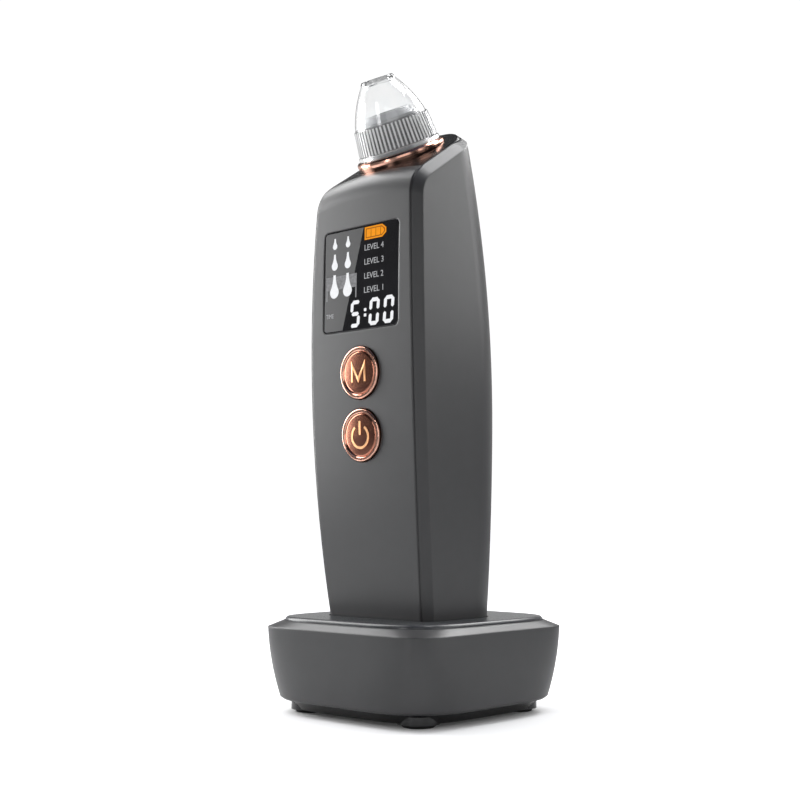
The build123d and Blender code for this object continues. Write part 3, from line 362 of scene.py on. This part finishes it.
GREY = (0.043, 0.043, 0.0445)
PANEL_GREY = (0.045, 0.047, 0.052)
BLACK = (0.006, 0.006, 0.0065)
RUBBER = (0.005, 0.005, 0.005)
PALE_GREY = (0.62, 0.63, 0.64)
COPPER = (0.80, 0.44, 0.33)
# painted shade: a darker copy of the copper, for the dark that the keys' domes reflect
COPPER_PAINTED_DARK = (0.50, 0.21, 0.14)
GOLD = (0.86, 0.62, 0.24)
STEEL = (0.56, 0.56, 0.58)
materials = {
    "grey_plastic": surface("grey_plastic", GREY, (0.36, 0.42), 3000.0, vary=0.03, edge_width=EDGE_WIDTH),
    "panel_plastic": surface(
        "panel_plastic", PANEL_GREY, (0.26, 0.32), 3000.0, vary=0.03, edge_width=EDGE_WIDTH
    ),
    "black_plastic": surface("black_plastic", BLACK, (0.20, 0.28), 2500.0, vary=0.1),
    "connector_plastic": surface("connector_plastic", PALE_GREY, (0.3, 0.38), 2500.0),
    "copper_plate": surface("copper_plate", COPPER, (0.14, 0.20), 1500.0, metal=1.0, relief=0.004),
    "black_rubber": surface(
        "black_rubber", RUBBER, (0.6, 0.75), 2500.0, vary=0.15, Specular_IOR_Level=0.3
    ),
    "foam": surface("foam", (0.62, 0.62, 0.6), (0.85, 0.95), 1800.0, relief=0.5),
    "chip_plastic": surface("chip_plastic", (0.02, 0.02, 0.022), (0.5, 0.6), 4000.0),
    "magnet_iron": surface("magnet_iron", (0.12, 0.12, 0.125), (0.35, 0.5), 2500.0, metal=1.0),
    "contact_gold": surface("contact_gold", GOLD, (0.15, 0.25), 3000.0, metal=1.0),
    "cell_wrap": surface("cell_wrap", (0.04, 0.13, 0.32), (0.25, 0.32), 400.0, vary=0.12),
    "screw_steel": surface(
        "screw_steel", STEEL, (0.22, 0.36), 2500.0, metal=1.0, stretch=(1.0, 1.0, 0.1)
    ),
    "clear_plastic": clear_plastic(),
    "black_glass": black_glass(),
    "circuit_board": circuit_board(),
}
lit_white = lit("lit_white", (0.95, 0.96, 0.98), 0.85)
lit_label = lit("lit_label", (0.62, 0.63, 0.65), 0.6)
lit_orange = lit("lit_orange", (0.86, 0.30, 0.0), 0.95)
lit_amber = lit("lit_amber", (0.40, 0.11, 0.0), 0.9)
lit_haze = lit("lit_haze", (0.30, 0.30, 0.31), 0.8, vary=0.45, grain=1400.0)
lit_dim = lit("lit_dim", (0.36, 0.36, 0.37), 0.6)
# painted reflection: a grey film lighter than the black glass, for the reflection of a softbox in the
# screen
painted_reflection_zone = surface("painted_reflection_zone", (0.032, 0.032, 0.033), (0.34, 0.42), 90.0, Specular_IOR_Level=0.35)
# the keys' domes: polished copper darkened as painted shade
polished_copper_painted_shade = surface(
    "polished_copper_painted_shade", COPPER_PAINTED_DARK, (0.15, 0.20), 1500.0, metal=1.0, relief=0.004
)
inlay_gold = surface("inlay_gold", (0.80, 0.44, 0.22), (0.36, 0.44), 2500.0, metal=1.0, relief=0.004)

slot_of = {part["node"]: part["material_slot"] for part in frame["record"]["subparts"]}
for node, obj in frame["nodes"].items():
    obj.data.materials.clear()
    obj.data.materials.append(materials[slot_of[node]])


# ================================================================ the charging pins' springs, as pieces of their own
def live_spring(side):
    """A charging pin's coil, copied from the model's spring into a piece of its own, with the model's
    spring hidden.
    """
    node = "pin_spring_" + side
    coil = bpy.data.objects.new("coil_" + side, frame["nodes"][node].data.copy())
    bpy.context.scene.collection.objects.link(coil)
    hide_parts(node)
    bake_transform(coil)


live_spring("left")
live_spring("right")


# ================================================================ making a piece
def add_piece(name, mesh, material, matrix, body):
    """A new piece from a mesh in a front-face frame, riding on a body."""
    mesh.transform(matrix)
    mesh.materials.clear()
    mesh.materials.append(material)
    obj = bpy.data.objects.new(name, mesh)
    bpy.context.scene.collection.objects.link(obj)
    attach(obj, body)


def fill_mesh(mesh, bm):
    """A mesh filled from a bmesh, with its faces turned outwards."""
    bmesh.ops.recalc_face_normals(bm, faces=bm.faces)
    bm.to_mesh(mesh)
    bm.free()
    return mesh


def plates(name, outlines, thick):
    """A mesh of closed flat plates: each outline, in millimetres, is raised by thick."""
    bm = bmesh.new()
    for outline in outlines:
        low = [bm.verts.new((x * MM, y * MM, 0.0)) for x, y in outline]
        high = [bm.verts.new((x * MM, y * MM, thick)) for x, y in outline]
        bm.faces.new(high)
        bm.faces.new(list(reversed(low)))
        for i in range(len(outline)):
            j = (i + 1) % len(outline)
            bm.faces.new((low[i], low[j], high[j], high[i]))
    return fill_mesh(bpy.data.meshes.new(name), bm)


# ================================================================ outlines, in millimetres
CORNER_STEPS = 5
MITRE_LIMIT = 0.35
BULB_START = 145.0
BULB_SWEEP = 250.0
BULB_STEPS = 24
NECK_STEPS = 6
NECK_CURVE = 2.2


def bar(x0, y0, x1, y1):
    """A rectangle, counter-clockwise."""
    return [(x0, y0), (x1, y0), (x1, y1), (x0, y1)]


def arc(cx, cy, radius, start, sweep, steps):
    """Points along an arc, whose start and sweep are in degrees."""
    angles = [math.radians(start + sweep * step / steps) for step in range(steps + 1)]
    return [(cx + radius * math.cos(angle), cy + radius * math.sin(angle)) for angle in angles]


def round_bar(x0, y0, x1, y1, radius):
    """A rectangle with rounded corners, counter-clockwise."""
    points = []
    for cx, cy, start in (
        (x1 - radius, y1 - radius, 0),
        (x0 + radius, y1 - radius, 90),
        (x0 + radius, y0 + radius, 180),
        (x1 - radius, y0 + radius, 270),
    ):
        points += arc(cx, cy, radius, start, 90.0, CORNER_STEPS)
    return points


def ribbon(points, width):
    """Outline of a stroke of a width along open points, mitred at its bends."""
    sides = ([], [])
    last = len(points) - 1
    for i, point in enumerate(points):
        before = Vector(point) - Vector(points[i - 1]) if i > 0 else None
        after = Vector(points[i + 1]) - Vector(point) if i < last else None
        ways = [way.normalized() for way in (before, after) if way is not None]
        normals = [Vector((-way.y, way.x)) for way in ways]
        normal = sum(normals, Vector((0.0, 0.0))).normalized()
        reach = 0.5 * width / max(MITRE_LIMIT, normal.dot(normals[0]))
        sides[0].append(tuple(Vector(point) + normal * reach))
        sides[1].append(tuple(Vector(point) - normal * reach))
    return sides[1] + list(reversed(sides[0]))


def drop(cx, cy, radius, top, neck):
    """A drop: a round bulb drawn out into a narrow neck above."""
    points = arc(cx, cy, radius, BULB_START, BULB_SWEEP, BULB_STEPS)
    shoulder = points[-1][0] - cx
    height = points[-1][1]
    right = []
    for step in range(1, NECK_STEPS + 1):
        t = step / NECK_STEPS
        half = neck + (shoulder - neck) * (1.0 - t) ** NECK_CURVE
        right.append((half, height + (top - height) * t))
    points += [(cx + half, y) for half, y in right]
    points += [(cx - half, y) for half, y in reversed(right)]
    return points


# ================================================================ the screen, about the middle of its lens
GLASS_LIFT = 0.02 * MM
FILM = 0.03 * MM
THIN_FILM = 0.5 * FILM
screen = front_matrix(LENS_Z, -LENS_SINK + GLASS_LIFT)
upper = front_matrix(LENS_Z, -LENS_SINK + 2.0 * GLASS_LIFT)
raised = front_matrix(LENS_Z, -LENS_SINK + 4.0 * GLASS_LIFT)


def display(name, outlines, thick, material, matrix):
    """A piece of the display, made of flat plates."""
    add_piece(name, plates(name, outlines, thick), material, matrix, "handpiece")


# a painted reflection: a lighter zone on the screen glass, with a slanting right edge, for a softbox's
# reflection
zone = [(-15.0, -14.4), (-14.4, -15.0), (-7.2, -15.0), (1.2, 15.0), (-14.4, 15.0), (-15.0, 14.4)]
display("screen_painted_reflection", [zone], THIN_FILM, painted_reflection_zone, screen)

# battery sign: an outline with three bars and a pointed one at its end, over a dimmer field
BAR_LEFT = 2.5
BAR_WIDTH = 1.7
BAR_PITCH = 1.95
BAR_FOOT = 11.85
BAR_TOP = 14.15
outer = [(1.7, 11.1), (1.7, 14.9), (8.9, 14.9), (10.5, 13.7), (10.5, 12.3), (8.9, 11.1)]
inner = [(2.1, 11.5), (2.1, 14.5), (8.75, 14.5), (10.1, 13.5), (10.1, 12.5), (8.75, 11.5)]
battery = []
for i in range(len(outer)):
    j = (i + 1) % len(outer)
    battery.append([outer[i], outer[j], inner[j], inner[i]])
for i in range(3):
    bar_left = BAR_LEFT + BAR_PITCH * i
    battery.append(bar(bar_left, BAR_FOOT, bar_left + BAR_WIDTH, BAR_TOP))
battery.append([(8.35, BAR_FOOT), (9.0, 12.1), (9.6, 12.75), (9.6, 13.25), (9.0, 13.9), (8.35, BAR_TOP)])
display("battery_field", [outer], THIN_FILM, lit_amber, upper)
display("battery_sign", battery, FILM, lit_orange, raised)

# seven-segment time figures
SEGMENT_WIDTH = 1.15
SEGMENT_GAP = 0.16
SEGMENT_CUT = 0.45
LEVEL_INSET = 0.35  # how far level and upright segments stop short, in segment widths
UPRIGHT_INSET = 0.3
FIGURE_WIDTH = 4.1
FIGURE_HEIGHT = 8.1
FIGURE_FOOT = -14.65
SLANT = 0.075
LIT_SEGMENTS = {"5": "afgcd", "0": "abcdef"}
COLON_X = 2.25
COLON_HALF = (0.5, 0.45)
COLON_CORNER = 0.2


def segments(figure, left):
    """Plates of a figure's lit segments; a is the top bar, then clockwise to f, and g is the middle."""
    w, h, t = FIGURE_WIDTH, FIGURE_HEIGHT, SEGMENT_WIDTH
    gap, cut, middle = SEGMENT_GAP, SEGMENT_CUT, SEGMENT_WIDTH / 2
    half = h / 2.0
    across = {"a": h - t, "g": half - middle, "d": 0.0}
    upright = {"f": (0.0, half), "b": (w - t, half), "e": (0.0, 0.0), "c": (w - t, 0.0)}
    shapes = []
    for key in LIT_SEGMENTS[figure]:
        if key in across:
            y0 = across[key]
            y1 = y0 + t
            x0, x1 = LEVEL_INSET * t + gap, w - LEVEL_INSET * t - gap
            near, far = (x0, y0 + middle), (x1, y0 + middle)
            shape = [(x0 + cut, y0), (x1 - cut, y0), far, (x1 - cut, y1), (x0 + cut, y1), near]
        else:
            x0, foot = upright[key]
            x1 = x0 + t
            y0 = foot + UPRIGHT_INSET * t + gap
            y1 = foot + half - UPRIGHT_INSET * t - gap
            near, far = (x0 + middle, y0), (x0 + middle, y1)
            shape = [(x0, y0 + cut), near, (x1, y0 + cut), (x1, y1 - cut), far, (x0, y1 - cut)]
        shapes.append([(left + x + SLANT * y, FIGURE_FOOT + y) for x, y in shape])
    return shapes


figures = segments("5", -4.25) + segments("0", 3.6) + segments("0", 9.45)
for height in (-9.75, -11.35):
    half_x, half_y = COLON_HALF
    figures.append(
        round_bar(COLON_X - half_x, height - half_y, COLON_X + half_x, height + half_y, COLON_CORNER)
    )
display("time_figures", figures, FILM, lit_white, upper)

# three rows of drops over a hazy band of skin; a row is (height, radius, top, half width of the neck)
columns = (-10.9, -5.3)
rows = ((10.9, 0.95, 13.3, 0.3), (4.9, 1.3, 8.5, 0.38), (-3.1, 1.85, 2.2, 0.5))
drops = [drop(x, y, radius, top, neck) for y, radius, top, neck in rows for x in columns]
display("pore_drops", drops, FILM, lit_white, raised)
display("skin_band", [bar(-14.5, -2.4, -1.5, 1.7)], THIN_FILM, lit_haze, upper)
legs = [bar(-14.4, -5.6, -13.9, -2.45), bar(-2.0, -5.6, -1.5, -2.45)]
display("skin_band_legs", legs, THIN_FILM, lit_dim, upper)


def label(name, words, left, foot, cap, width):
    """Raised lettering with a cap height and an overall width, in millimetres."""
    curve = bpy.data.curves.new(name, "FONT")
    curve.body = words
    maker = bpy.data.objects.new(name + "_maker", curve)
    bpy.context.scene.collection.objects.link(maker)
    bpy.context.view_layer.update()
    mesh = bpy.data.meshes.new_from_object(maker)
    bpy.data.objects.remove(maker)
    bm = bmesh.new()
    bm.from_mesh(mesh)
    low_x = min(v.co.x for v in bm.verts)
    high_x = max(v.co.x for v in bm.verts)
    low_y = min(v.co.y for v in bm.verts)
    high_y = max(v.co.y for v in bm.verts)
    for v in bm.verts:
        x = (v.co.x - low_x) / (high_x - low_x) * width + left
        y = (v.co.y - low_y) / (high_y - low_y) * cap + foot
        v.co = Vector((x * MM, y * MM, 0.0))
    bmesh.ops.remove_doubles(bm, verts=bm.verts, dist=1e-7)
    grown = bmesh.ops.extrude_face_region(bm, geom=list(bm.faces))
    tops = [item for item in grown["geom"] if isinstance(item, bmesh.types.BMVert)]
    bmesh.ops.translate(bm, verts=tops, vec=(0.0, 0.0, FILM))
    fill_mesh(mesh, bm)
    mesh.name = name
    add_piece(name, mesh, lit_label, upper, "handpiece")


for level, foot in ((4, 7.9), (3, 3.65), (2, -0.55), (1, -4.75)):
    label(f"level_label_{level}", f"LEVEL {level}", left=1.7, foot=foot, cap=1.75, width=7.8)
label("time_label", "TIME", left=-14.3, foot=-10.9, cap=1.3, width=3.2)

# ================================================================ polished domes and signs on the keys
DOME_R = 6.42 * MM
DOME_RISE = 0.26 * MM
DOME_FOOT = 0.02 * MM
DOME_RINGS = 10
DOME_SPOKES = 72
INLAY = 0.17 * MM
SIGN_RISE = 0.13 * MM
STROKE = 0.74
mode_face = front_matrix(MODE_Z, KEY_FACE)
power_face = front_matrix(POWER_Z, KEY_FACE)


def dome_height(radius):
    """Height of a key's shallow dome above the key's face, at a distance from its middle."""
    return DOME_FOOT + DOME_RISE * (1.0 - (radius / DOME_R) ** 2)


def dome(name, matrix, body):
    """A shallow polished dome that fills a key's dished face."""
    bm = bmesh.new()
    centre = bm.verts.new((0.0, 0.0, dome_height(0.0)))
    turn = [2.0 * math.pi * spoke / DOME_SPOKES for spoke in range(DOME_SPOKES)]
    loops = []
    for ring in range(1, DOME_RINGS + 1):
        radius = DOME_R * ring / DOME_RINGS
        height = dome_height(radius)
        loops.append([bm.verts.new((radius * math.cos(a), radius * math.sin(a), height)) for a in turn])
    foot = [bm.verts.new((v.co.x, v.co.y, -DOME_FOOT)) for v in loops[-1]]
    for spoke in range(DOME_SPOKES):
        after = (spoke + 1) % DOME_SPOKES
        bm.faces.new((centre, loops[0][spoke], loops[0][after]))
        for inside, outside in zip(loops, loops[1:]):
            bm.faces.new((inside[spoke], outside[spoke], outside[after], inside[after]))
        bm.faces.new((loops[-1][spoke], foot[spoke], foot[after], loops[-1][after]))
    bm.faces.new(list(reversed(foot)))
    mesh = fill_mesh(bpy.data.meshes.new(name), bm)
    for polygon in mesh.polygons:
        polygon.use_smooth = len(polygon.vertices) < 5 and abs(polygon.normal.z) > 0.5
    add_piece(name, mesh, polished_copper_painted_shade, matrix, body)


def sign(name, outlines, matrix, body):
    """Plates that stand a little out of a key's dome, whatever their place on it."""
    mesh = plates(name, outlines, INLAY)
    for vertex in mesh.vertices:
        radius = math.hypot(vertex.co.x, vertex.co.y)
        vertex.co.z += dome_height(radius) - INLAY + SIGN_RISE
    add_piece(name, mesh, inlay_gold, matrix, body)


dome("mode_dome", mode_face, "mode_key")
dome("power_dome", power_face, "power_key")

# the letter M, and an open ring with an upright stroke, about the middle of the key
letter = [(-2.6, -2.7), (-2.6, 2.7), (0.0, -2.2), (2.6, 2.7), (2.6, -2.7)]
open_ring = arc(0.0, -0.4, radius=3.3, start=125.0, sweep=290.0, steps=48)
upright_stroke = round_bar(-0.4, 0.0, 0.4, 4.2, 0.38)
sign("mode_letter", [ribbon(letter, STROKE)], mode_face, "mode_key")
sign("power_sign", [ribbon(open_ring, STROKE), upright_stroke], power_face, "power_key")

# ================================================================ floor
FLOOR_REACH = 6.0
FLOOR_NEAR = 0.04  # the floor's own light rises from FLOOR_GLOW to 1 between these two distances
FLOOR_FAR = 0.30
FLOOR_GLOW = 0.50
CONTACT_REACH = 0.13
SHADOW_CORE = 0.06


def floor():
    """A pale floor with a soft grain, which glows evenly white for the camera further out, with a painted
    contact shadow close to what stands on it.
    """
    mesh = bpy.data.meshes.new("floor")
    bm = bmesh.new()
    bmesh.ops.create_grid(bm, x_segments=8, y_segments=8, size=FLOOR_REACH)
    bm.to_mesh(mesh)
    bm.free()
    obj = bpy.data.objects.new("floor", mesh)
    bpy.context.scene.collection.objects.link(obj)
    material, tree, shader, coords = new_material("floor")
    grain = noise(tree, coords, 60.0)
    feed(tree, ramp(tree, grain, (0.80, 0.80, 0.80), (0.82, 0.82, 0.82)), shader.inputs["Base Color"])
    shader.inputs["Roughness"].default_value = 0.6
    shader.inputs["Specular IOR Level"].default_value = 0.2
    shader.inputs["Emission Color"].default_value = (1.0, 1.0, 1.0, 1.0)
    distance = vector_step(tree, "LENGTH", coords, result="Value")
    glow = ranged(tree, distance, FLOOR_NEAR, FLOOR_FAR, FLOOR_GLOW, 1.0)
    # painted contact shadow: ambient occlusion darkens the floor's glow close to what stands on it
    nearby = tree.nodes.new("ShaderNodeAmbientOcclusion")
    nearby.inputs["Distance"].default_value = CONTACT_REACH
    painted_contact_shadow = number_step(tree, "MAXIMUM", nearby.outputs["AO"], SHADOW_CORE)
    shaded = number_step(tree, "MULTIPLY", painted_contact_shadow, glow)
    path = tree.nodes.new("ShaderNodeLightPath")
    seen = number_step(tree, "MULTIPLY", shaded, path.outputs["Is Camera Ray"])
    feed(tree, seen, shader.inputs["Emission Strength"])
    mesh.materials.append(material)


floor()


# ================================================================ light
def softbox(name, place, aim, size, power):
    """A rectangular soft light at a place, facing a point."""
    data = bpy.data.lights.new(name, "AREA")
    data.shape = "RECTANGLE"
    data.size, data.size_y = size
    data.energy = power
    obj = bpy.data.objects.new(name, data)
    obj.location = place
    obj.rotation_euler = (Vector(aim) - Vector(place)).to_track_quat("-Z", "Y").to_euler()
    obj.visible_camera = False
    bpy.context.scene.collection.objects.link(obj)


softbox("key_left", (-0.20, -0.09, 0.155), (0.0, -0.02, 0.11), (0.12, 0.22), 0.72)
softbox("brow_left", (-0.24, -0.02, 0.46), (0.0, -0.02, 0.16), (0.20, 0.20), 0.85)
softbox("rim_right", (0.16, 0.20, 0.25), (0.02, 0.0, 0.13), (0.10, 0.20), 0.26)
softbox("edge_strip", (0.03, -0.70, 0.15), (0.0, 0.0, 0.10), (0.12, 0.60), 1.3)
softbox("camera_fill", (0.55, -0.58, 0.25), (0.0, 0.0, 0.10), (0.5, 0.5), 0.8)
softbox("right_fill", (0.60, 0.15, 0.12), (0.0, 0.0, 0.06), (0.5, 0.4), 1.1)
softbox("over_left", (-0.44, 0.0, 0.50), (0.0, -0.02, 0.03), (0.22, 0.22), 0.10)
softbox("over_back", (0.02, 0.44, 0.46), (0.0, 0.0, 0.03), (0.26, 0.22), 1.8)
softbox("over_top", (0.05, 0.08, 0.38), (0.015, -0.005, 0.17), (0.08, 0.08), 0.30)

# ================================================================ surroundings
BACKWARDS = (-0.684, 0.724, 0.0)  # from the object away from the camera
SIDEWAYS = (-0.888, -0.427, 0.17)  # from the object to the bright patch on its left
ROOM_LEVELS = ((0.0, 0.05), (0.5, 0.10), (0.7, 0.42), (1.0, 0.8))  # from front to back
HEIGHT_LEVELS = ((0.0, 1.0), (0.22, 0.9), (0.36, 0.12), (1.0, 0.10))  # from the horizon to overhead
CEILING = (0.06, 0.09, 0.18, 1.0)
CEILING_START = 0.75
CEILING_FULL = 0.95
WINDOW_GLOW = 0.8
WINDOW_LEVELS = ((0.955, 0.0), (0.98, WINDOW_GLOW), (1.0, WINDOW_GLOW))
BACKDROP_LEVELS = ((0.0, 0.15), (0.45, 0.3), (0.62, 0.8), (0.75, 1.0))
WHITE = (1.0, 1.0, 1.0, 1.0)
WHITE_STRENGTH = 1.05


def background(tree, colour, strength=1.0):
    """A background shader of a colour."""
    node = tree.nodes.new("ShaderNodeBackground")
    node.inputs["Strength"].default_value = strength
    feed(tree, colour, node.inputs["Color"])
    return node.outputs["Background"]


def studio():
    """A dim room with a bright strip low behind the object and a bright patch on its left. Rays through
    clear plastic see a backdrop that is white at the back, and the camera sees plain white."""
    world = bpy.data.worlds.new("studio")
    world.use_nodes = True
    tree = world.node_tree
    tree.nodes.clear()
    output = tree.nodes.new("ShaderNodeOutputWorld")
    direction = tree.nodes.new("ShaderNodeTexCoord").outputs["Generated"]
    split = tree.nodes.new("ShaderNodeSeparateXYZ")
    feed(tree, direction, split.inputs["Vector"])
    upwards = split.outputs["Z"]
    towards_back = vector_step(tree, "DOT_PRODUCT", direction, BACKWARDS, result="Value")
    front_to_back = number_step(tree, "MULTIPLY_ADD", towards_back, 0.5, 0.5)
    sweep = level_ramp(tree, front_to_back, ROOM_LEVELS)
    strip = mix_colours(tree, "MULTIPLY", 1.0, sweep, level_ramp(tree, upwards, HEIGHT_LEVELS))
    overhead = ranged(tree, upwards, CEILING_START, CEILING_FULL)
    closed = mix_colours(tree, "MIX", overhead, strip, CEILING)
    towards_side = vector_step(tree, "DOT_PRODUCT", direction, SIDEWAYS, result="Value")
    window = level_ramp(tree, towards_side, WINDOW_LEVELS)
    room = background(tree, mix_colours(tree, "ADD", 1.0, closed, window))
    backdrop = background(tree, level_ramp(tree, front_to_back, BACKDROP_LEVELS))
    path = tree.nodes.new("ShaderNodeLightPath")
    through = mix_shaders(tree, path.outputs["Is Transmission Ray"], room, backdrop)
    white = background(tree, WHITE, WHITE_STRENGTH)
    chosen = mix_shaders(tree, path.outputs["Is Camera Ray"], through, white)
    feed(tree, chosen, output.inputs["Surface"])
    bpy.context.scene.world = world


studio()

# ================================================================ camera
CAMERA_PLACE = Vector((0.2689, -0.2907, 0.0565))
CAMERA_TURN = math.radians(43.383)
CAMERA_TILT = math.radians(5.314)
LIGHT_BOUNCES = 12
camera_data = bpy.data.cameras.new("camera")
camera_data.lens = 58.5
camera_data.sensor_width = 36.0
camera_data.clip_start = 0.01
camera_data.clip_end = 50.0
camera = bpy.data.objects.new("camera", camera_data)
camera.location = CAMERA_PLACE
camera.rotation_euler = (math.pi / 2 + CAMERA_TILT, 0.0, CAMERA_TURN)
bpy.context.scene.collection.objects.link(camera)
bpy.context.scene.camera = camera
bpy.context.scene.view_settings.view_transform = "Standard"
bpy.context.scene.cycles.max_bounces = LIGHT_BOUNCES
bpy.context.scene.cycles.transmission_bounces = LIGHT_BOUNCES
bpy.context.scene.cycles.caustics_reflective = False
bpy.context.scene.cycles.caustics_refractive = False
